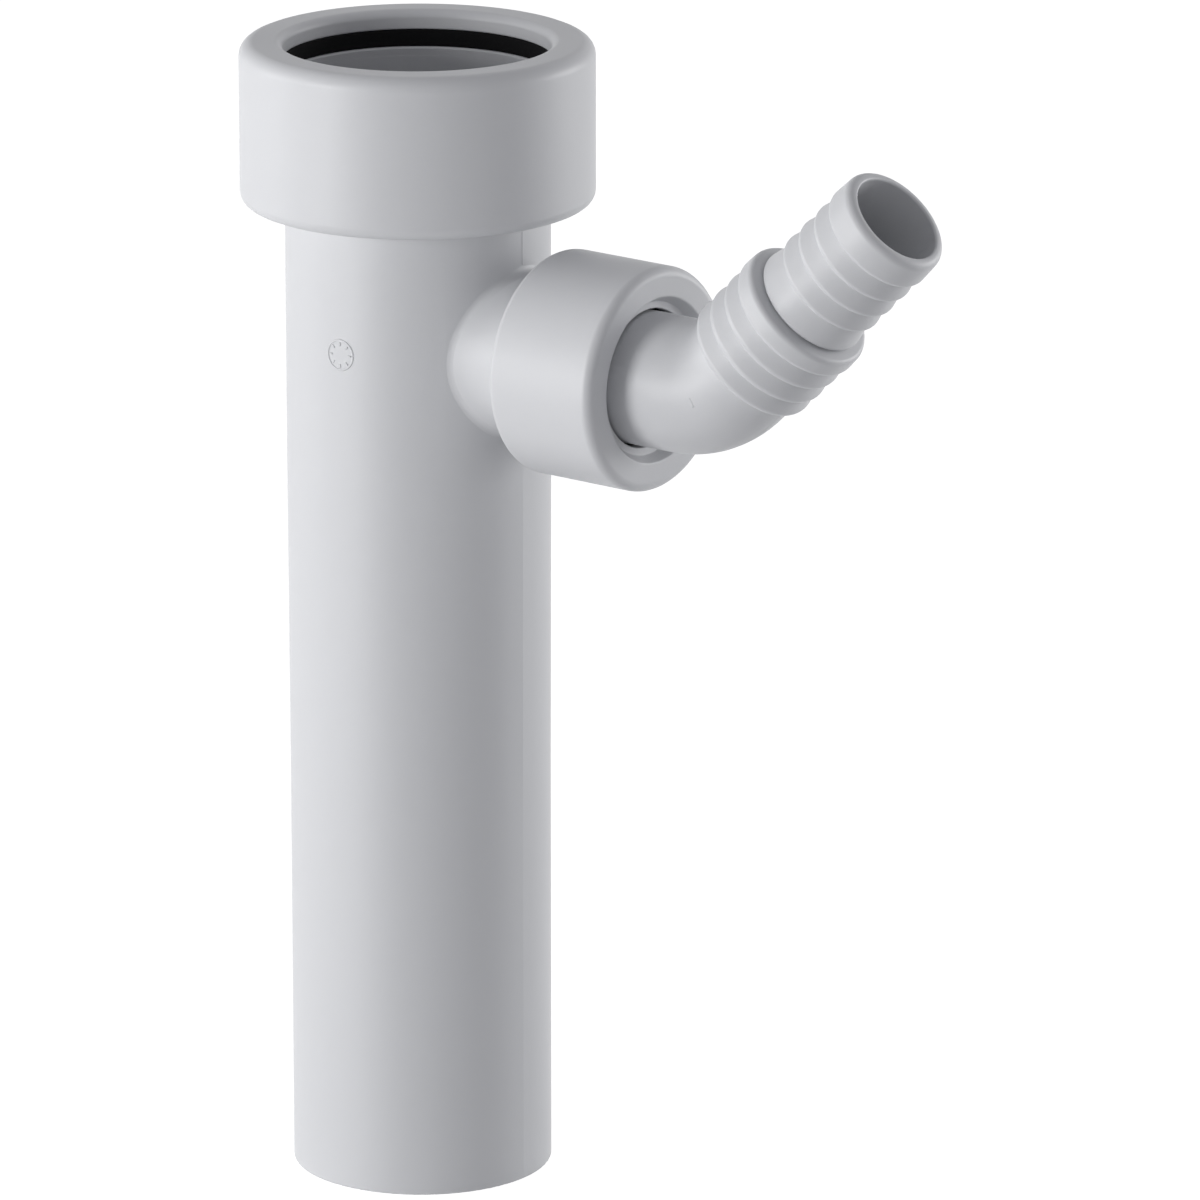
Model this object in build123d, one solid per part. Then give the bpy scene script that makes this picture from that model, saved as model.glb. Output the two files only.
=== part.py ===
from build123d import *
import os
from dataclasses import dataclass
from math import cos, radians, sin, tan

# Appliance waste connector, in millimetres. The origin is the centre of the pipe's lower end,
# Z runs up the pipe and X runs out along the branch.

# Waste pipe
pipe_outer_d = 40.0          # plain end, pushed into the next socket
pipe_wall = 2.0
pipe_draft = 0.15            # growth of the radius from the plain end to the socket
plain_end_length = 60.0      # the part that is kept parallel
end_round = 0.4
total_height = 177.3

# Top socket, which takes another 40 mm pipe
socket_clearance = 0.3       # radial, round the pipe that goes in
socket_depth = 22.3          # from the collar's face to the stop
socket_bell_wall = 2.0
collar_length = 24.8
collar_wall = 2.0
collar_lip = 3.0
collar_face_round = 2.3
collar_back_round = 1.8
collar_mouth_round = 1.3
seal_height = 2.7
seal_width = 2.8
seal_setback = 0.2           # how far the seal stands outside the socket's bore
seat_chamfer = 0.9
seat_chamfer_height = 1.4
head_wall = 1.55             # of the bell's head, round the seal
shoulder_drop = 1.1          # the bell's shoulder starts this far below the collar

# Branch, square to the pipe
collar_gap = 3.7             # between the top collar and the branch collar below it
branch_face = 46.0           # from the pipe's axis to the branch collar's face
stub_outer_d = 24.6
stub_fillet = 1.2
stub_passage_d = 16.6
branch_stop = 24.5           # where the spigot would meet the passage's step
branch_collar_length = 19.2
branch_collar_wall = 2.0
branch_collar_lip = 4.0
branch_face_round = 1.5
branch_back_round = 1.3
branch_seal_height = 3.0
branch_seal_width = 2.6
branch_seat_chamfer = 0.6
branch_seat_chamfer_height = 1.0
branch_head_wall = 2.1
branch_shoulder_drop = 0.8
recess_mouth_d = 25.0        # flared recess in the branch collar's face
recess_floor_d = 22.9
recess_flare_depth = 1.0
recess_depth = 1.8
lip_clearance = 0.4          # radial, between the branch collar's lip and the spigot
running_clearance = 0.15     # radial, between the branch seal and the spigot

# Features that both sockets share
skirt_clearance = 0.1        # radial, between a collar's skirt and the bell's flanges
foot_flange = 2.1            # axial length of the bell's lower flange
seat_floor = 2.2             # material under the seal
snap_bead = 0.5              # radial height of the bead that holds a collar on
snap_bead_length = 1.2
snap_play = 0.1
small_round = 0.3

# Hose nozzle
spigot_outer_d = 20.3        # the elbow keeps this diameter up to the first barb
spigot_clearance = 0.3       # radial, in the branch's bell
spigot_play = 0.5            # between the spigot's end and the stop
spigot_chamfer = 0.8
nozzle_bore_d = 14.0
elbow_angle = 45.0
elbow_bend_r = 14.0
elbow_lead = 5.5             # straight length from the collar's face to the bend
elbow_swivel = 4.4           # how far the nozzle is turned out of the upright plane

# Barbs
barb_depth = 0.7
barb_rise = 0.3              # axial length of a barb's steep side, which faces the elbow
barb_round = 0.75
large_crest_d = 21.6
large_lead = 2.15            # straight length from the bend to the first barb
large_pitch = 3.51
large_count = 4
shoulder_length = 3.9        # the last large barb and the rounded step after it
shoulder_slope = 0.15
shoulder_round = 2.2
groove_d = 16.7
small_crest_d = 18.0
small_pitch = 3.72
small_first = 4.7            # the first small barb is longer than the others
small_count = 5
tip_length = 5.3
tip_slope = 0.2
tip_round = 1.4
bore_edge_round = 0.3

# Sizes that follow from those above
pipe_r = pipe_outer_d / 2
pipe_top_r = pipe_r + pipe_draft
pipe_bore_r = pipe_r - pipe_wall
spigot_r = spigot_outer_d / 2
nozzle_bore_r = nozzle_bore_d / 2
seal_in_r = pipe_r + socket_clearance + seal_setback
branch_seal_in_r = spigot_r + running_clearance
collar_r = seal_in_r + seal_width + head_wall + skirt_clearance + collar_wall
branch_collar_r = (branch_seal_in_r + branch_seal_width + branch_head_wall + skirt_clearance
                   + branch_collar_wall)
branch_height = total_height - collar_length - collar_gap - branch_collar_r
bend_reach = elbow_bend_r * tan(radians(elbow_angle / 2))
elbow_corner = branch_face + elbow_lead + bend_reach
large_start = bend_reach + large_lead
past_end = 1.0               # how far a cutting shape runs past the face it cuts


@dataclass
class Socket:
    """A ring-seal socket. Heights run from the collar's open back end to its face."""

    length: float
    collar_r: float
    wall: float
    lip: float
    face_round: float
    back_round: float
    neck_r: float
    bell_r: float
    bore_r: float
    seal_height: float
    seal_width: float
    seal_in_r: float
    chamfer: float
    chamfer_height: float
    drop: float

    @property
    def skirt_r(self):
        return self.collar_r - self.wall

    @property
    def flange_r(self):
        return self.skirt_r - skirt_clearance

    @property
    def rim(self):
        return self.length - self.lip

    @property
    def seat(self):
        return self.rim - self.seal_height

    @property
    def head(self):
        return self.seat - seat_floor

    @property
    def seal_out_r(self):
        return self.seal_in_r + self.seal_width


top = Socket(
    length=collar_length,
    collar_r=collar_r,
    wall=collar_wall,
    lip=collar_lip,
    face_round=collar_face_round,
    back_round=collar_back_round,
    neck_r=pipe_top_r,
    bell_r=pipe_r + socket_clearance + socket_bell_wall,
    bore_r=pipe_r + socket_clearance,
    seal_height=seal_height,
    seal_width=seal_width,
    seal_in_r=seal_in_r,
    chamfer=seat_chamfer,
    chamfer_height=seat_chamfer_height,
    drop=shoulder_drop,
)
branch = Socket(
    length=branch_collar_length,
    collar_r=branch_collar_r,
    wall=branch_collar_wall,
    lip=branch_collar_lip,
    face_round=branch_face_round,
    back_round=branch_back_round,
    neck_r=stub_outer_d / 2,
    bell_r=stub_outer_d / 2,
    bore_r=spigot_r + spigot_clearance,
    seal_height=branch_seal_height,
    seal_width=branch_seal_width,
    seal_in_r=branch_seal_in_r,
    chamfer=branch_seat_chamfer,
    chamfer_height=branch_seat_chamfer_height,
    drop=branch_shoulder_drop,
)


def facing_x(x, z):
    """A plane across the branch's direction, whose own Z runs out along the row's X."""
    return Plane((x, 0, z), x_dir=(0, 1, 0), z_dir=(1, 0, 0))


top_place = Plane((0, 0, total_height - top.length), x_dir=(1, 0, 0), z_dir=(0, 0, 1))
branch_place = facing_x(branch_face - branch.length, branch_height)
branch_axis = facing_x(0, branch_height)


def turned(corners):
    """A solid turned about the Z axis. Each corner is its radius, height and rounding."""
    points = [(r, 0, h) for r, h, _ in corners]
    outline = FilletPolyline(*points, radius=[c[2] for c in corners], close=True)
    return revolve(make_face(outline), Axis.Z)


def bell(s):
    """The outside of a socket's bell: shoulder, lower flange, waist and the head round the seal."""
    return turned([
        (0, -s.drop, 0),
        (s.neck_r, -s.drop, 0),
        (s.flange_r, small_round, small_round),
        (s.flange_r, foot_flange, 0),
        (s.bell_r, foot_flange, 0),
        (s.bell_r, s.head, 0),
        (s.flange_r, s.head, 0),
        (s.flange_r, s.rim, 0),
        (0, s.rim, 0),
    ])


def seat_cut(s, stop):
    """What is taken out of a bell: the socket's bore down to its stop and the seal's seat."""
    return turned([
        (0, stop, 0),
        (s.bore_r, stop, 0),
        (s.bore_r, s.seat - s.chamfer_height, 0),
        (s.bore_r + s.chamfer, s.seat, 0),
        (s.seal_out_r, s.seat, 0),
        (s.seal_out_r, s.rim + past_end, 0),
        (0, s.rim + past_end, 0),
    ])


def collar(s, mouth):
    """A collar: skirt with its snap bead, and a lip whose opening has the corners in mouth."""
    bead_top = s.head - snap_play
    bead_foot = bead_top - snap_bead_length
    bead_r = s.skirt_r - snap_bead
    return turned([
        (s.skirt_r, 0, small_round),
        (s.collar_r, 0, s.back_round),
        (s.collar_r, s.length, s.face_round),
        *mouth,
        (s.skirt_r, s.rim, 0),
        (s.skirt_r, bead_top, 0),
        (bead_r, bead_top, 0),
        (bead_r, bead_foot + snap_bead, 0),
        (s.skirt_r, bead_foot, 0),
    ])


def seal(s):
    """A ring seal that fills its seat between the bell and the collar's lip."""
    return turned([
        (s.seal_in_r, s.seat, small_round),
        (s.seal_out_r, s.seat, small_round),
        (s.seal_out_r, s.rim, small_round),
        (s.seal_in_r, s.rim, small_round),
    ])


def pipe_outside():
    """The pipe up to the top bell's shoulder: parallel plain end, then the mould's draft."""
    shoulder = total_height - top.length - top.drop
    return turned([
        (0, 0, 0),
        (pipe_r, 0, end_round),
        (pipe_r, plain_end_length, 0),
        (pipe_top_r, branch_height - branch.collar_r, 0),
        (pipe_top_r, shoulder, 0),
        (0, shoulder, 0),
    ])


def pipe_body():
    """The moulded pipe with the bells of both sockets and the branch's stub."""
    stub_end = branch_face - branch.length - branch.drop
    stub = branch_axis * extrude(Circle(branch.neck_r), amount=stub_end)
    body = pipe_outside() + stub
    joint = [e for e in body.edges() if e.geom_type not in (GeomType.LINE, GeomType.CIRCLE)]
    body = fillet(joint, stub_fillet)
    body += top_place * bell(top) + branch_place * bell(branch)
    stop = total_height - socket_depth
    body -= Pos(0, 0, -past_end) * extrude(Circle(pipe_bore_r), amount=stop + 2 * past_end)
    body -= branch_axis * extrude(Circle(stub_passage_d / 2), amount=branch_stop + past_end)
    body -= top_place * seat_cut(top, top.length - socket_depth)
    body -= branch_place * seat_cut(branch, branch_stop - (branch_face - branch.length))
    return body


def socket_collar():
    return top_place * collar(top, [
        (top.bore_r, top.length, collar_mouth_round),
        (top.bore_r, top.rim, small_round),
    ])


def branch_collar():
    lip_r = spigot_r + lip_clearance
    floor = branch.length - recess_depth
    return branch_place * collar(branch, [
        (recess_mouth_d / 2, branch.length, small_round),
        (recess_floor_d / 2, branch.length - recess_flare_depth, small_round),
        (recess_floor_d / 2, floor, small_round),
        (lip_r, floor, small_round),
        (lip_r, branch.rim, 0),
    ])


def barbs(crest_r, start, pitch, count):
    """The corners of a run of barbs: a steep side towards the elbow, then a long slope."""
    corners = []
    for i in range(count):
        foot = start + i * pitch
        corners.append((crest_r - barb_depth, foot, 0))
        corners.append((crest_r, foot + barb_rise, barb_round))
    return corners


def nozzle_tail():
    """The barbed tail, turned about Z with its height measured from the elbow's corner."""
    large_r = large_crest_d / 2
    small_r = small_crest_d / 2
    step = large_start + (large_count - 1) * large_pitch + shoulder_length
    second = step + small_first
    tip = second + (small_count - 2) * small_pitch + tip_length
    return turned([
        (nozzle_bore_r, bend_reach, 0),
        (spigot_r, bend_reach, 0),
        (spigot_r, large_start, 0),
        *barbs(large_r, large_start, large_pitch, large_count)[1:],
        (large_r - shoulder_slope, step - small_round, shoulder_round),
        (groove_d / 2, step, 0),
        (small_r, step + barb_rise, barb_round),
        *barbs(small_r, second, small_pitch, small_count - 1),
        (small_r - tip_slope, tip, tip_round),
        (nozzle_bore_r, tip, bore_edge_round),
    ])


def hose_nozzle():
    """Spigot, elbow and barbed tail in one, with one bore all the way."""
    bend_start = branch_face + elbow_lead
    spigot = facing_x(0, 0) * turned([
        (nozzle_bore_r, branch_stop + spigot_play, bore_edge_round),
        (spigot_r, branch_stop + spigot_play, spigot_chamfer),
        (spigot_r, bend_start, 0),
        (nozzle_bore_r, bend_start, 0),
    ])
    section = facing_x(bend_start, 0) * (Circle(spigot_r) - Circle(nozzle_bore_r))
    bend_axis = Axis((bend_start, 0, elbow_bend_r), (0, -1, 0))
    bend = revolve(section, bend_axis, revolution_arc=elbow_angle)
    aim = (cos(radians(elbow_angle)), 0, sin(radians(elbow_angle)))
    tail = Plane((elbow_corner, 0, 0), x_dir=(0, 1, 0), z_dir=aim) * nozzle_tail()
    nozzle = spigot + bend + tail
    return Pos(0, 0, branch_height) * Rot(-elbow_swivel, 0, 0) * nozzle


os.makedirs("parts", exist_ok=True)
pieces = {
    "pipe_body": pipe_body(),
    "socket_collar": socket_collar(),
    "socket_seal": top_place * seal(top),
    "branch_collar": branch_collar(),
    "branch_seal": branch_place * seal(branch),
    "hose_nozzle": hose_nozzle(),
}
for name, piece in pieces.items():
    export_step(piece, f"parts/{name}.step")
    print(name, round(piece.volume), "mm3", len(piece.solids()), "solid")
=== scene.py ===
# %% [markdown]
# # A waste connector for an appliance
#
# A light grey plastic fitting: a 40 mm pipe with a ring-seal socket on top, and a side branch
# that holds a turnable hose nozzle. The steps below make each moulded piece as a smooth
# surface, give it its plastic or rubber, and light it like a studio picture on white.
# Every piece is made where the frame says it is. Sizes are metres, except those that go into
# an outline: these are millimetres, as on a drawing.

# %% Frame
from math import cos, pi, radians, sin

import bpy
import numpy as np
from mathutils import Matrix, Vector


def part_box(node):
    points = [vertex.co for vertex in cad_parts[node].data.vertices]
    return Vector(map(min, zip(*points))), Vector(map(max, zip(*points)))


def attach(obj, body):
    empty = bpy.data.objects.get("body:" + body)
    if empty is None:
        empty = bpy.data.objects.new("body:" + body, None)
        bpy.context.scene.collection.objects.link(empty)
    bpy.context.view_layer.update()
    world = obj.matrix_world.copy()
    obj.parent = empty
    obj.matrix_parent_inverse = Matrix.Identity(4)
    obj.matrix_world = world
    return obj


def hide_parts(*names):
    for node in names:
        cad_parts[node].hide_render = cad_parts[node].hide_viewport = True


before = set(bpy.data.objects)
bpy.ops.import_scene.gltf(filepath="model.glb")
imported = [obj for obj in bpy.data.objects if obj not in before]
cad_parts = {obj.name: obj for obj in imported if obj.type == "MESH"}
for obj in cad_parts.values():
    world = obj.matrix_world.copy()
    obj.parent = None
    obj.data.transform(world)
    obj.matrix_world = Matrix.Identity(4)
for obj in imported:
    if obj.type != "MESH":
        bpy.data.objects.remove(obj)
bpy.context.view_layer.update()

MM = 0.001
print("nodes in the frame:", ", ".join(sorted(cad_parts)))

# %% [markdown]
# The sizes that the pieces share. The frame's boxes say where each collar and seal starts and
# ends and how wide it is, so these are measured and not typed again. What a box can't tell,
# such as a wall or the bend of the elbow, is the mould's own size and is named here.

# %% Sizes
def node_box(name):
    """A node's lowest and highest corners, each with its X, Y and Z."""
    low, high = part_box(name)
    return np.array(low), np.array(high)


def mm(value):
    """A length in metres as millimetres, which the outlines are written in."""
    return value / MM


top_low, top_high = node_box("socket_collar")
top_seal_low, top_seal_high = node_box("socket_seal")
side_low, side_high = node_box("branch_collar")
side_seal_low, side_seal_high = node_box("branch_seal")
nozzle_low = node_box("hose_nozzle")[0]

pipe_r = 20.0 * MM
pipe_parallel = 60 * MM
pipe_draft = 0.15 * MM
top_r = (top_high[0] - top_low[0]) / 2
top_face = top_high[2]
top_back = top_low[2]
side_r = (side_high[2] - side_low[2]) / 2
side_face = side_high[0]
side_back = side_low[0]
branch_z = (side_high[2] + side_low[2]) / 2
stub_r = 12.3 * MM
spigot_r = 10.15 * MM
bend_r = 14.0 * MM
bend_angle = radians(45)
bend_start = side_face + 5.5 * MM
swivel = radians(4.4)
collar_wall = 2.0
print("branch height", round(mm(branch_z), 2), "mm, collar radii", round(mm(top_r), 2),
      round(mm(side_r), 2), "mm")

# %% [markdown]
# Nearly every piece of this fitting is round about one line, because its mould was turned on
# a lathe, so one outline and one circle describe it. A Bevel modifier could round the edges
# of a plain cylinder, but it gives all edges one kind of round. Here the outline is a list of
# corners, each with its own round, just as a drawing gives them. Straight lines and arcs have
# an exact normal at every point, so the shading stays clean where an arc runs into a flat.

# %% Outlines
smallest_round = 0.04


def outline(corners, step=0.0, arc_points=7):
    """Points and outward normals of a closed outline with rounded corners.

    Each corner is (a, b, round) in mm, listed counter-clockwise with a to the right. At a
    corner that turns by the angle t, the arc of radius r starts r * tan(t / 2) before the
    corner and its normals swing evenly from one side's normal to the next side's normal.
    Where a step is given, straight parts longer than it are cut into equal pieces.
    """
    corner = np.array(corners, float)
    p, r = corner[:, :2], np.maximum(corner[:, 2], smallest_round)
    before, after = p - np.roll(p, 1, 0), np.roll(p, -1, 0) - p
    before /= np.linalg.norm(before, axis=1)[:, None]
    after /= np.linalg.norm(after, axis=1)[:, None]
    first_normal = np.stack([before[:, 1], -before[:, 0]], 1)
    turn = np.arctan2(before[:, 0] * after[:, 1] - before[:, 1] * after[:, 0],
                      (before * after).sum(1))
    side = np.sign(turn)
    start = p - before * (r * np.tan(np.abs(turn) / 2))[:, None]
    centre = start - first_normal * (side * r)[:, None]
    share = np.linspace(0, 1, arc_points)
    first_angle = np.arctan2(first_normal[:, 1], first_normal[:, 0])
    angle = first_angle[:, None] + turn[:, None] * share
    normal = np.stack([np.cos(angle), np.sin(angle)], 2)
    point = centre[:, None] + normal * (side * r)[:, None, None]
    point, normal = point.reshape(-1, 2), normal.reshape(-1, 2)
    if step:
        gap = np.linalg.norm(np.roll(point, -1, 0) - point, axis=1)
        cuts = np.maximum(np.ceil(gap / step).astype(int), 1)
        here = np.repeat(np.arange(len(point)), cuts)
        along = np.arange(len(here)) - np.repeat(np.cumsum(cuts) - cuts, cuts)
        part = (along / np.repeat(cuts, cuts))[:, None]
        there = (here + 1) % len(point)
        point = point[here] * (1 - part) + point[there] * part
        normal = normal[here] * (1 - part) + normal[there] * part
    return point * MM, normal / np.linalg.norm(normal, axis=1)[:, None]


square = outline([(0, 0, 1), (4, 0, 1), (4, 4, 1), (0, 4, 1)])[0]
print("a 4 mm square with 1 mm rounds has", len(square), "outline points")

# %% [markdown]
# A grid of points becomes a mesh. The grid closes on itself in both directions, as a ring
# does, so there is no seam to weld and no pole to close. The turned pieces carry their outline
# round a straight axis.

# %% Surfaces
def ring_faces(rows, columns):
    """Four-sided faces of a grid that closes on itself both ways, rows by columns."""
    i, j = np.meshgrid(np.arange(rows), np.arange(columns), indexing="ij")
    i2, j2 = (i + 1) % rows, (j + 1) % columns
    quads = [i * columns + j, i * columns + j2, i2 * columns + j2, i2 * columns + j]
    return np.stack(quads, 2).reshape(-1, 4).tolist()


def surface(name, points, faces, normals=None):
    """A smooth mesh object from arrays of points and, where they are known, of normals."""
    mesh = bpy.data.meshes.new(name)
    mesh.from_pydata(points.reshape(-1, 3).tolist(), [], faces)
    mesh.shade_smooth()
    if normals is not None:
        mesh.normals_split_custom_set_from_vertices(normals.reshape(-1, 3).tolist())
    mesh.update()
    piece = bpy.data.objects.new(name, mesh)
    bpy.context.scene.collection.objects.link(piece)
    print(name, len(mesh.vertices), "points")
    return piece


def turned(name, corners, origin, axis, columns=240):
    """A piece turned on a lathe: the outline's a is the radius and b the height on the axis.

    A point at angle t is origin + height * axis + radius * (cos t * x + sin t * y), where x
    and y are square to the axis, and its normal turns in the same way.
    """
    flat, out = outline(corners)
    z = np.array(axis, float)
    x = np.array((0.0, 1.0, 0.0) if axis[0] else (1.0, 0.0, 0.0))
    y = np.cross(z, x)
    t = np.linspace(0, 2 * pi, columns, endpoint=False)
    radial = np.cos(t)[:, None] * x + np.sin(t)[:, None] * y
    points = flat[:, :1, None] * radial + flat[:, 1:, None] * z + np.array(origin)
    normals = out[:, :1, None] * radial + out[:, 1:, None] * z
    return surface(name, points, ring_faces(len(flat), columns), normals)


# %% [markdown]
# The top collar is a smooth moulded ring, pressed over the pipe's bell so that it traps the
# seal. Its front edge is well rounded, its back edge turns in with a smaller round, and its
# lip stands just clear of the pipe that will be pushed in. Under the seal, a thin ring carries
# the socket's wall up to it and catches a fine line of light.

# %% Top collar and its seal
top_length = mm(top_face - top_back)
top_lip = 3.0
socket_bore = 20.3
top_skirt = mm(top_r) - collar_wall
top_rim = top_length - top_lip
socket_collar = turned("top_collar_ring", [
    (top_skirt, 0, 0.3),
    (mm(top_r), 0, 1.8),
    (mm(top_r), top_length, 2.3),
    (socket_bore, top_length, 1.3),
    (socket_bore, top_rim, 0.3),
    (top_skirt, top_rim, 0),
], (0, 0, top_back), (0, 0, 1), columns=320)

seal_round = 0.3
top_seal_in = 20.5
top_seal_out = mm(top_seal_high[0])
top_seal_length = mm(top_seal_high[2] - top_seal_low[2])
socket_seal = turned("top_seal_ring", [
    (top_seal_in, 0, seal_round),
    (top_seal_out, 0, seal_round),
    (top_seal_out, top_seal_length, seal_round),
    (top_seal_in, top_seal_length, seal_round),
], (0, 0, top_seal_low[2]), (0, 0, 1), columns=280)

edge_foot = -1.6
edge_top = -0.02
edge_wall = 1.3
chamfer_out = socket_bore + 0.2
chamfer_foot = -0.3
seat_edge = turned("socket_seat_edge", [
    (socket_bore, edge_foot, 0.05),
    (socket_bore + edge_wall, edge_foot, 0),
    (socket_bore + edge_wall, edge_top, 0),
    (chamfer_out, edge_top, 0.25),
    (socket_bore, chamfer_foot, 0.15),
], (0, 0, top_seal_low[2]), (0, 0, 1), columns=280)

# %% [markdown]
# The branch collar is made the same way. Its face has a shallow recess round the nozzle's
# spigot, with a flared wall and a narrow ledge, which reads as a dark ring in the picture.

# %% Branch collar and its seal
side_length = mm(side_face - side_back)
side_lip = 4.0
side_skirt = mm(side_r) - collar_wall
side_rim = side_length - side_lip
spigot_gap = 0.4
side_lip_r = mm(spigot_r) + spigot_gap
recess_mouth = 12.6
recess_floor = 11.7
recess_depth = 1.9
recess_ledge = side_length - recess_depth
branch_collar = turned("branch_collar_ring", [
    (side_skirt, 0, 0.3),
    (mm(side_r), 0, 1.3),
    (mm(side_r), side_length, 1.5),
    (recess_mouth, side_length, 0.35),
    (recess_floor, recess_ledge, 0.25),
    (side_lip_r, recess_ledge, 0.2),
    (side_lip_r, side_rim, 0),
    (side_skirt, side_rim, 0),
], (side_back, 0, branch_z), (1, 0, 0), columns=280)

side_seal_in = 10.3
side_seal_out = mm((side_seal_high[2] - side_seal_low[2]) / 2)
side_seal_length = mm(side_seal_high[0] - side_seal_low[0])
branch_seal = turned("branch_seal_ring", [
    (side_seal_in, 0, seal_round),
    (side_seal_out, 0, seal_round),
    (side_seal_out, side_seal_length, seal_round),
    (side_seal_in, side_seal_length, seal_round),
], (side_seal_low[0], 0, branch_z), (1, 0, 0), columns=200)

# %% [markdown]
# The nozzle's centre line runs out of the branch, bends up by 45 degrees and goes on straight.
# The whole nozzle is then turned a little about the branch, as it sits in the picture. A curve
# with a bevel could carry a tube along this line, but not a radius that changes at each barb,
# so every point is worked out from its distance along the line and its angle round it.

# %% The nozzle's bent path
def on_path(s, around, radius):
    """Points, outward directions and forward directions on the nozzle's bent path.

    The distance s is measured from the pipe's axis. Up to bend_start the line follows X. In
    the bend it has turned by (s - bend_start) / bend_r, up to bend_angle, and what is left of
    s goes straight on. The angle around is zero at the top, on the inside of the bend, and a
    quarter turn at +Y.
    """
    turn = np.clip((s - bend_start) / bend_r, 0, bend_angle)
    past = np.maximum(s - bend_start - bend_r * bend_angle, 0)
    straight = np.minimum(s, bend_start)
    cx = straight + bend_r * np.sin(turn) + past * np.cos(turn)
    cz = bend_r * (1 - np.cos(turn)) + past * np.sin(turn)
    centre = np.stack([cx, 0 * cx, cz], -1)
    forward = np.stack([np.cos(turn), 0 * turn, np.sin(turn)], -1)
    up = np.stack([-np.sin(turn), 0 * turn, np.cos(turn)], -1)
    side = np.array((0.0, 1.0, 0.0))
    outward = np.cos(around)[..., None] * up + np.sin(around)[..., None] * side
    tilt = np.array(((1, 0, 0), (0, cos(swivel), sin(swivel)), (0, -sin(swivel), cos(swivel))))
    lift = np.array((0, 0, branch_z))
    points = (centre + radius[..., None] * outward) @ tilt.T + lift
    return points, outward @ tilt.T, forward @ tilt.T


def bent(name, corners, columns=200, step=0.5):
    """A piece turned about the bent path: a is the distance along it and b the radius."""
    flat, out = outline(corners, step)
    t = np.linspace(0, 2 * pi, columns, endpoint=False)
    s, around = np.meshgrid(flat[:, 0], t, indexing="ij")
    radius = np.repeat(flat[:, 1:], columns, 1)
    points, outward, forward = on_path(s, around, radius)
    normals = out[:, :1, None] * forward + out[:, 1:, None] * outward
    return surface(name, points, ring_faces(len(flat), columns), normals)


# %% [markdown]
# The nozzle is one moulding: a plain spigot, a 45 degree elbow and two steps of hose barbs.
# Each barb has a short steep side that faces the elbow and a long slope towards the tip, so
# the hose slides on and holds. One outline carried along the bent centre line makes it all,
# with the bore as the way back.

# %% Hose nozzle
bore_r = 7.15
neck_r = 9.35
barb_rise = 0.42
large_crest, large_depth, large_pitch, large_count = 10.85, 0.95, 3.51, 4
small_crest, small_depth, small_pitch, small_count = 9.05, 0.85, 3.72, 4
tip_r = small_crest - 0.25
shoulder_r = large_crest - 0.15
large_lead, shoulder_length, small_lead, tip_length = 2.15, 3.9, 4.7, 5.3
neck_length = 2.0
taper_round = 25

spigot_end = mm(nozzle_low[0])
taper_start = mm(bend_start) + 0.5
bend_end = mm(bend_start) + mm(bend_r) * bend_angle
large_start = bend_end + large_lead
neck_s = large_start - neck_length
step_s = large_start + (large_count - 1) * large_pitch + shoulder_length
small_start = step_s + small_lead
tip_s = small_start + (small_count - 1) * small_pitch + tip_length


def barbs(crest, depth, start, pitch, count):
    """Corners of a run of barbs, read from the tip back to the elbow.

    Each barb has its crest and, nearer the elbow by the short rise, a foot that lies lower by
    the depth. The crest's round is about as large as the depth, so the barb is a soft hump.
    """
    found = []
    for foot in [start + i * pitch for i in reversed(range(count))]:
        found += [(foot + barb_rise, crest, depth + 0.05), (foot, crest - depth, 0.08)]
    return found


large_barbs = barbs(large_crest, large_depth, large_start, large_pitch, large_count)
small_barbs = barbs(small_crest, small_depth, small_start, small_pitch, small_count)
hose_nozzle = bent("nozzle_moulding", [
    (spigot_end, bore_r, 0.3),
    (tip_s, bore_r, 0.35),
    (tip_s, tip_r, 1.25),
    *small_barbs,
    (step_s + barb_rise, small_crest, 0.7),
    (step_s, small_crest - small_depth, 0.05),
    (step_s - 0.3, shoulder_r, 0.9),
    *large_barbs[:-1],
    (large_start, neck_r, 0.15),
    (neck_s, neck_r, taper_round),
    (taper_start, mm(spigot_r), taper_round),
    (spigot_end, mm(spigot_r), 0.8),
])

# %% [markdown]
# The fine marks on a moulding are raised lines. A bump in the material could draw them, but it
# would vanish at the edge of the shape and in the exported mesh, so each is a real strip with
# a round top, whose foot is sunk a little into the plastic.

# %% Raised lines
sunk = 0.1 * MM


def raised(name, line, side, out, width, height):
    """A strip with a half-round top along a line of points, with both ends closed.

    Across the strip, a point at angle t is line + width / 2 * cos t * side + rise * out, where
    the rise is height * sin t above the surface and sunk * sin t below it.
    """
    t = np.linspace(0, 2 * pi, 12, endpoint=False)
    rise = np.where(np.sin(t) > 0, height * np.sin(t), sunk * np.sin(t))
    body = (line[:, None] + (width / 2 * np.cos(t))[None, :, None] * side[:, None]
            + rise[None, :, None] * out[:, None])
    rows, columns = body.shape[:2]
    points = np.concatenate([body.reshape(-1, 3), body[[0, -1]].mean(1)])
    i, j = np.meshgrid(np.arange(rows - 1), np.arange(columns), indexing="ij")
    j2 = (j + 1) % columns
    quads = np.stack([i * columns + j, i * columns + j2, (i + 1) * columns + j2,
                      (i + 1) * columns + j], 2).reshape(-1, 4)
    k = np.arange(columns)
    k2 = (k + 1) % columns
    last_row, first_pole = (rows - 1) * columns, rows * columns
    start_cap = np.stack([np.full(columns, first_pole), k2, k], 1)
    end_cap = np.stack([np.full(columns, first_pole + 1), last_row + k, last_row + k2], 1)
    return surface(name, points, quads.tolist() + start_cap.tolist() + end_cap.tolist())


def pipe_radius(z):
    """The pipe's radius: parallel at first, then wider by the draft up to the branch."""
    share = np.clip((z - pipe_parallel) / (branch_z - side_r - pipe_parallel), 0, 1)
    return pipe_r + pipe_draft * share


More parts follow.
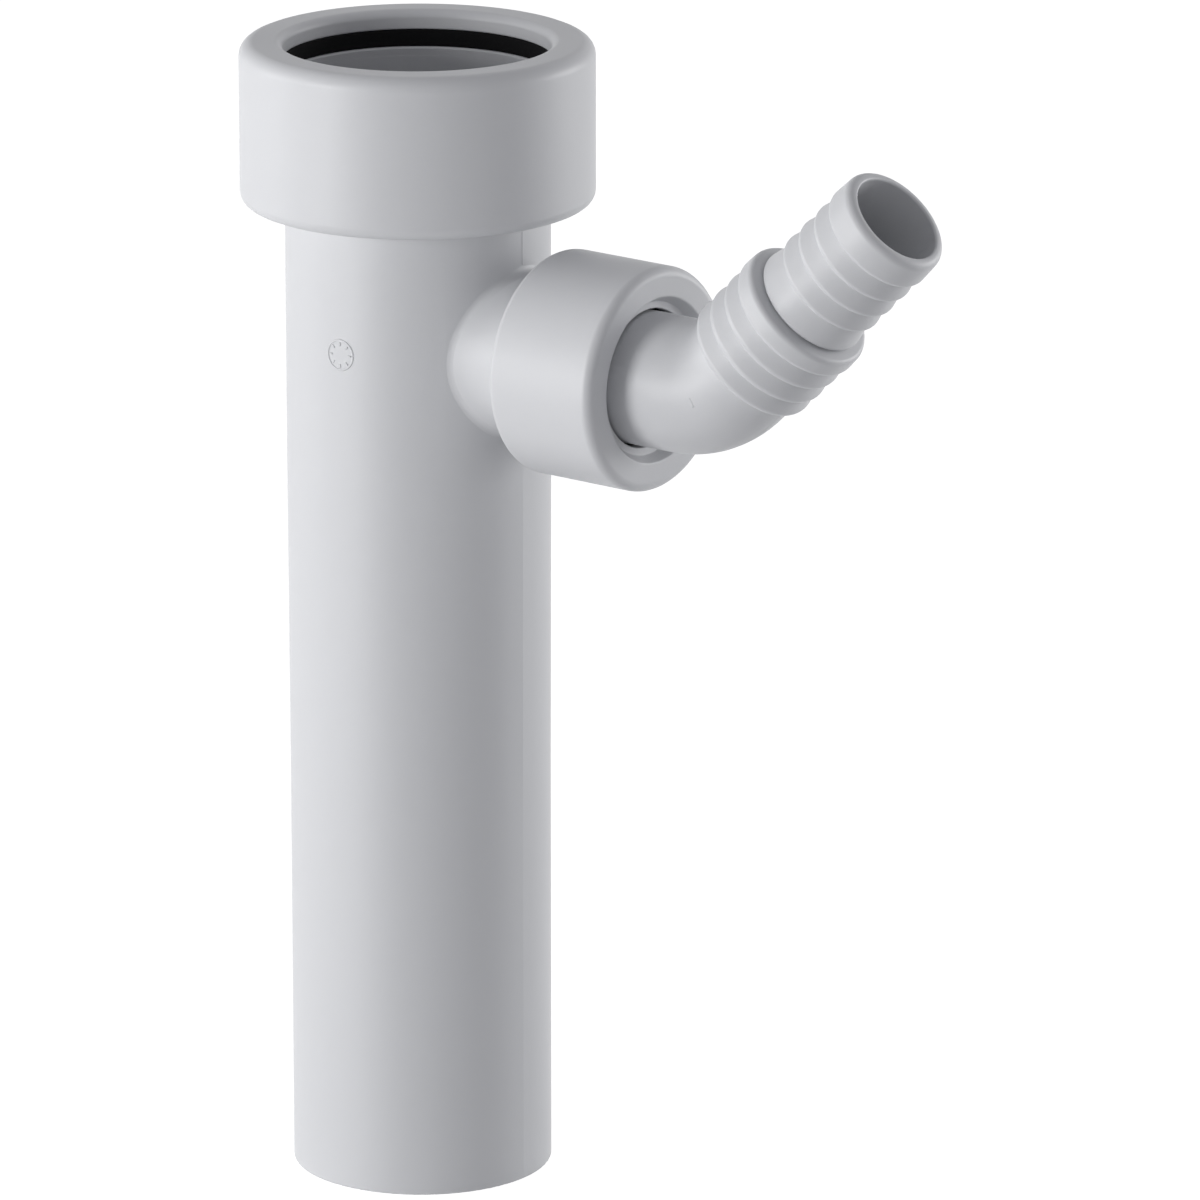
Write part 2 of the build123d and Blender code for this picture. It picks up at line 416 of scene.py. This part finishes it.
def elbow_radius(s):
    """The elbow's outside radius at the distance s, from the spigot to the narrower neck."""
    return np.interp(s, [bend_start, neck_s * MM], [spigot_r, neck_r * MM])


print("pipe radius at the foot and the branch:", mm(pipe_radius(np.array([0, branch_z]))))

# %% [markdown]
# Two mould halves met along the plane through the pipe and the branch, and left a hair of a
# ridge there, on the pipe's far sides and on the top and the underside of the elbow.

# %% Parting lines
pipe_seam_width, pipe_seam_height = 0.3 * MM, 0.05 * MM
nozzle_seam_width, nozzle_seam_height = 0.28 * MM, 0.04 * MM


def upright_seam(name, direction, low, high):
    """A seam up the pipe's side at +X or -X, following the pipe's draft."""
    z = np.linspace(low, high, 40)
    line = np.stack([direction * pipe_radius(z), 0 * z, z], 1)
    side = np.tile((0.0, -direction, 0.0), (len(z), 1))
    out = np.tile((direction, 0.0, 0.0), (len(z), 1))
    return raised(name, line, side, out, pipe_seam_width, pipe_seam_height)


above_foot = 0.6 * MM
above_stub = branch_z + stub_r + 1.5 * MM
below_collar = top_back - 1.1 * MM
pipe_seams = [upright_seam("pipe_seam_high", 1.0, above_stub, below_collar),
              upright_seam("pipe_seam_back", -1.0, above_foot, below_collar)]

seam_s = np.linspace(side_face + 0.5 * MM, (large_start - 0.3) * MM, 60)
nozzle_seams = []
for label, around in (("top", 0.0), ("under", pi)):
    at, out, forward = on_path(seam_s, np.full(len(seam_s), around), elbow_radius(seam_s))
    nozzle_seams.append(raised(f"nozzle_seam_{label}", at, np.cross(forward, out), out,
                               nozzle_seam_width, nozzle_seam_height))

# %% [markdown]
# The gate, where the plastic was fed into the mould, left a short raised line across the
# elbow's side. The pipe has a raised ring with eight plain ticks, where the mould held a small
# dial insert.

# %% Gate mark and dial
gate_width, gate_height = 0.5 * MM, 0.05 * MM
gate_turn = np.radians(np.linspace(-98, -107, 8))
gate_s = np.full(len(gate_turn), side_face + 12.5 * MM)
at, out, forward = on_path(gate_s, gate_turn, elbow_radius(gate_s))
gate = raised("gate_mark", at, forward, out, gate_width, gate_height)

dial_bearing, dial_z, dial_r = radians(3), 132.5 * MM, 2.3 * MM
ring_width, ring_height = 0.34 * MM, 0.12 * MM
tick_width, tick_height = 0.26 * MM, 0.1 * MM
tick_count, tick_from, tick_to = 8, 0.62, 0.86


def on_pipe(name, across, up, width, height):
    """A raised line for a flat drawing that is wrapped round the pipe at the dial's place.

    Across is bent round the pipe, so it turns the bearing by across / radius, and up stays
    upright. The strip's own side is square to the line and to the pipe's outward direction.
    """
    angle = dial_bearing + across / (pipe_r + pipe_draft)
    out = np.stack([np.sin(angle), -np.cos(angle), 0 * angle], -1)
    line = out * pipe_radius(dial_z + up)[:, None]
    line[:, 2] = dial_z + up
    side = np.cross(out, np.gradient(line, axis=0))
    side /= np.linalg.norm(side, axis=1)[:, None]
    return raised(name, line, side, out, width, height)


t = np.linspace(0, 2 * pi, 73)
dial = [on_pipe("dial_ring", dial_r * np.cos(t), dial_r * np.sin(t), ring_width, ring_height)]
r = np.linspace(tick_from, tick_to, 4) * dial_r
for k in range(tick_count):
    a = 2 * pi * k / tick_count
    dial.append(on_pipe(f"dial_tick_{k}", r * cos(a), r * sin(a), tick_width, tick_height))

# %% [markdown]
# The finishes are node networks. One small class wraps a socket so that plain arithmetic
# writes Math nodes, and one method adds any other node.

# %% Node helper
class Wire:
    """A value in a node network. Plus, minus and times make Math nodes."""

    def __init__(self, sheet, socket):
        self.sheet, self.socket = sheet, socket

    def maths(self, kind, a, b):
        return self.sheet.node("ShaderNodeMath", {"operation": kind}, {0: a, 1: b})[0]

    def __add__(self, other):
        return self.maths("ADD", self, other)

    def __radd__(self, other):
        return self.maths("ADD", other, self)

    def __sub__(self, other):
        return self.maths("SUBTRACT", self, other)

    def __rsub__(self, other):
        return self.maths("SUBTRACT", other, self)

    def __mul__(self, other):
        return self.maths("MULTIPLY", self, other)

    def __rmul__(self, other):
        return self.maths("MULTIPLY", other, self)


class Sheet:
    """A node network that is written from top to bottom."""

    def __init__(self, owner):
        owner.use_nodes = True
        self.tree = owner.node_tree
        self.tree.nodes.clear()

    def node(self, kind, settings=None, inputs=None):
        """Adds a node, its settings first and then its inputs, and gives its outputs."""
        made = self.tree.nodes.new(kind)
        for key, value in (settings or {}).items():
            setattr(made, key, value)
        for key, value in (inputs or {}).items():
            if isinstance(value, Wire):
                self.tree.links.new(value.socket, made.inputs[key])
            else:
                made.inputs[key].default_value = value
        return Outputs(self, made)


class Outputs:
    """A node's outputs as wires, by number or by name."""

    def __init__(self, sheet, made):
        self.sheet, self.made = sheet, made

    def __getitem__(self, key):
        return Wire(self.sheet, self.made.outputs[key])


# %% [markdown]
# The grey parts are polypropylene with a satin skin. Real mouldings are never one flat grey:
# the colour drifts a little over centimetres, the gloss varies where the melt cooled, and the
# skin has a very fine grain. Noise in object space gives all three without a picture to wrap
# round the shape. The rubber is nearly black, with a duller, coarser skin.

# %% Plastic and rubber
def finish(name, tone, drift, roughness, spread, grain, grain_scale, shine=0.5):
    """A moulded skin: colour drift, varying gloss and a fine grain, all from object space.

    Tone is the middle colour and drift how far it strays, roughness the middle gloss and
    spread how far that strays, and grain the strength of the fine bump.
    """
    material = bpy.data.materials.new(name)
    sheet = Sheet(material)
    where = sheet.node("ShaderNodeTexCoord")["Object"]

    def noise(scale, detail, rough=0.5):
        return sheet.node("ShaderNodeTexNoise", {"noise_dimensions": "3D"},
                          {"Vector": where, "Scale": scale, "Detail": detail,
                           "Roughness": rough})[0]

    broad, middle, fine = noise(45, 3), noise(420, 4, 0.6), noise(grain_scale, 2)
    shade = (broad - 0.5) * drift + (middle - 0.5) * (drift * 0.35) + 0.5
    low = [c * (1 - drift) for c in tone] + [1]
    high = [c * (1 + drift) for c in tone] + [1]
    # On a colour Mix node, inputs 6 and 7 and output 2 are the ones that carry colours.
    colour = sheet.node("ShaderNodeMix", {"data_type": "RGBA"},
                        {0: shade, 6: low, 7: high})[2]
    gloss = (broad - 0.5) * spread + (fine - 0.5) * spread + roughness
    grained = sheet.node("ShaderNodeBump", None,
                         {"Strength": grain, "Distance": 0.04 * MM, "Height": fine})[0]
    uneven = sheet.node("ShaderNodeBump", None,
                        {"Strength": grain * 0.5, "Distance": 0.2 * MM, "Height": middle,
                         "Normal": grained})[0]
    shader = sheet.node("ShaderNodeBsdfPrincipled", None,
                        {"Base Color": colour, "Roughness": gloss, "Normal": uneven,
                         "IOR": 1.49, "Specular IOR Level": shine})
    sheet.node("ShaderNodeOutputMaterial", None, {"Surface": shader["BSDF"]})
    print(name, len(sheet.tree.nodes), "nodes")
    return material


grey = finish("grey_polypropylene", (0.631, 0.637, 0.653), drift=0.05, roughness=0.44,
              spread=0.12, grain=0.25, grain_scale=5200)
rubber = finish("black_rubber_skin", (0.006, 0.006, 0.0065), drift=0.25, roughness=0.8,
                spread=0.2, grain=0.4, grain_scale=2600, shine=0.12)

# %% [markdown]
# Each new piece takes its finish, hides the frame piece that it stands in for, if it has one,
# and rides on the body that it belongs to. The pipe keeps its own shape and only gets the
# better plastic.

# %% Put the pieces on their bodies
def dress(piece, material, body, node=None):
    piece.data.materials.clear()
    piece.data.materials.append(material)
    if node:
        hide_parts(node)
    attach(piece, body)


dress(socket_collar, grey, "connector", "socket_collar")
dress(socket_seal, rubber, "connector", "socket_seal")
dress(branch_collar, grey, "connector", "branch_collar")
dress(branch_seal, rubber, "connector", "branch_seal")
dress(hose_nozzle, grey, "nozzle", "hose_nozzle")
for piece in pipe_seams + dial + [seat_edge]:
    dress(piece, grey, "connector")
for piece in nozzle_seams + [gate]:
    dress(piece, grey, "nozzle")
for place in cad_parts["pipe_body"].material_slots:
    place.material = grey

# %% [markdown]
# Two soft lamps light the part from the left, one from the side and one more from the front.
# A third fills the right side from a little behind, and a dim cool room light comes from all
# around. The lamps' bearings decide where the branch collar's shadow ends on the nozzle.

# %% Lamps
camera_bearing = radians(37.91)
lamp_distance, lamp_height, lamp_tall = 1.1, 0.2, 0.5
aim = Vector((0, 0, 0.1))


def lamp(name, bearing, width, power):
    """A rectangular lamp that looks at the part, bearing degrees left of the camera."""
    data = bpy.data.lights.new(name, "AREA")
    data.shape = "RECTANGLE"
    data.size, data.size_y = width, lamp_tall
    data.energy = power
    made = bpy.data.objects.new(name, data)
    bpy.context.scene.collection.objects.link(made)
    angle = camera_bearing - radians(bearing)
    made.location = (lamp_distance * sin(angle), -lamp_distance * cos(angle), lamp_height)
    made.rotation_euler = (aim - made.location).to_track_quat("-Z", "Y").to_euler()
    print(name, power, "W")


lamp("key_side", 98, 0.25, 3.3)
lamp("key_front", 57, 0.35, 6.8)
lamp("fill", -108, 0.6, 5.1)

# %% [markdown]
# The floor and the backdrop are white. Lamps strong enough to whiten the floor would burn out
# the pale plastic, so the floor shows a little light of its own to the camera and in
# reflections. It still takes the part's soft shadow, and none of its glow lights the part as
# bounced light would.

# %% Floor and backdrop
floor_reach = 12.0
floor_glow = 1.38
glow_share = 0.7
room_tint, room_strength = (0.945, 0.95, 1, 1), 0.31

floor_mesh = bpy.data.meshes.new("floor")
floor_mesh.from_pydata([(x * floor_reach, y * floor_reach, 0)
                        for x, y in ((-1, -1), (1, -1), (1, 1), (-1, 1))], [], [(0, 1, 2, 3)])
floor = bpy.data.objects.new("floor", floor_mesh)
bpy.context.scene.collection.objects.link(floor)


def seen(sheet):
    """1 for the camera, mirror and see-through rays, and 0 for the light that bounces."""
    path = sheet.node("ShaderNodeLightPath")
    added = path["Is Camera Ray"] + path["Is Glossy Ray"] + path["Is Transmission Ray"]
    return added.maths("MINIMUM", added, 1.0)


paint = bpy.data.materials.new("white_floor")
sheet = Sheet(paint)
matt = sheet.node("ShaderNodeBsdfDiffuse", None, {"Color": (0.9, 0.9, 0.9, 1)})[0]
glow = sheet.node("ShaderNodeEmission", None,
                  {"Color": (1, 1, 1, 1), "Strength": floor_glow})[0]
both = sheet.node("ShaderNodeMixShader", None,
                  {0: seen(sheet) * glow_share, 1: matt, 2: glow})[0]
sheet.node("ShaderNodeOutputMaterial", None, {"Surface": both})
floor_mesh.materials.append(paint)

world = bpy.data.worlds.new("studio")
bpy.context.scene.world = world
sheet = Sheet(world)
room = sheet.node("ShaderNodeBackground", None,
                  {"Color": room_tint, "Strength": room_strength})[0]
white = sheet.node("ShaderNodeBackground", None, {"Color": (1, 1, 1, 1), "Strength": 1.0})[0]
both = sheet.node("ShaderNodeMixShader", None, {0: seen(sheet), 1: room, 2: white})[0]
sheet.node("ShaderNodeOutputWorld", None, {"Surface": both})
bpy.context.scene.view_settings.view_transform = "Standard"
print("floor glow", floor_glow, "room light", room_strength)

# %% [markdown]
# The camera stands in front of the pipe, turned 38 degrees towards the branch and a little
# above the part. It stands well back with a long lens, as the picture was taken.

# %% Camera
eye = Vector((0.9146, -1.1296, 0.5067))
camera_height = radians(16.02)
view = bpy.data.cameras.new("camera")
view.sensor_width = 36.0
view.lens = 296.3
view.clip_end = 30
camera = bpy.data.objects.new("camera", view)
bpy.context.scene.collection.objects.link(camera)
back = Vector((sin(camera_bearing) * cos(camera_height),
               -cos(camera_bearing) * cos(camera_height), sin(camera_height)))
look = back.to_track_quat("Z", "Y").to_matrix().to_4x4()
camera.matrix_world = Matrix.Translation(eye) @ look
bpy.context.scene.camera = camera
print("camera looks along", [round(-v, 3) for v in back], "with a", view.lens, "mm lens")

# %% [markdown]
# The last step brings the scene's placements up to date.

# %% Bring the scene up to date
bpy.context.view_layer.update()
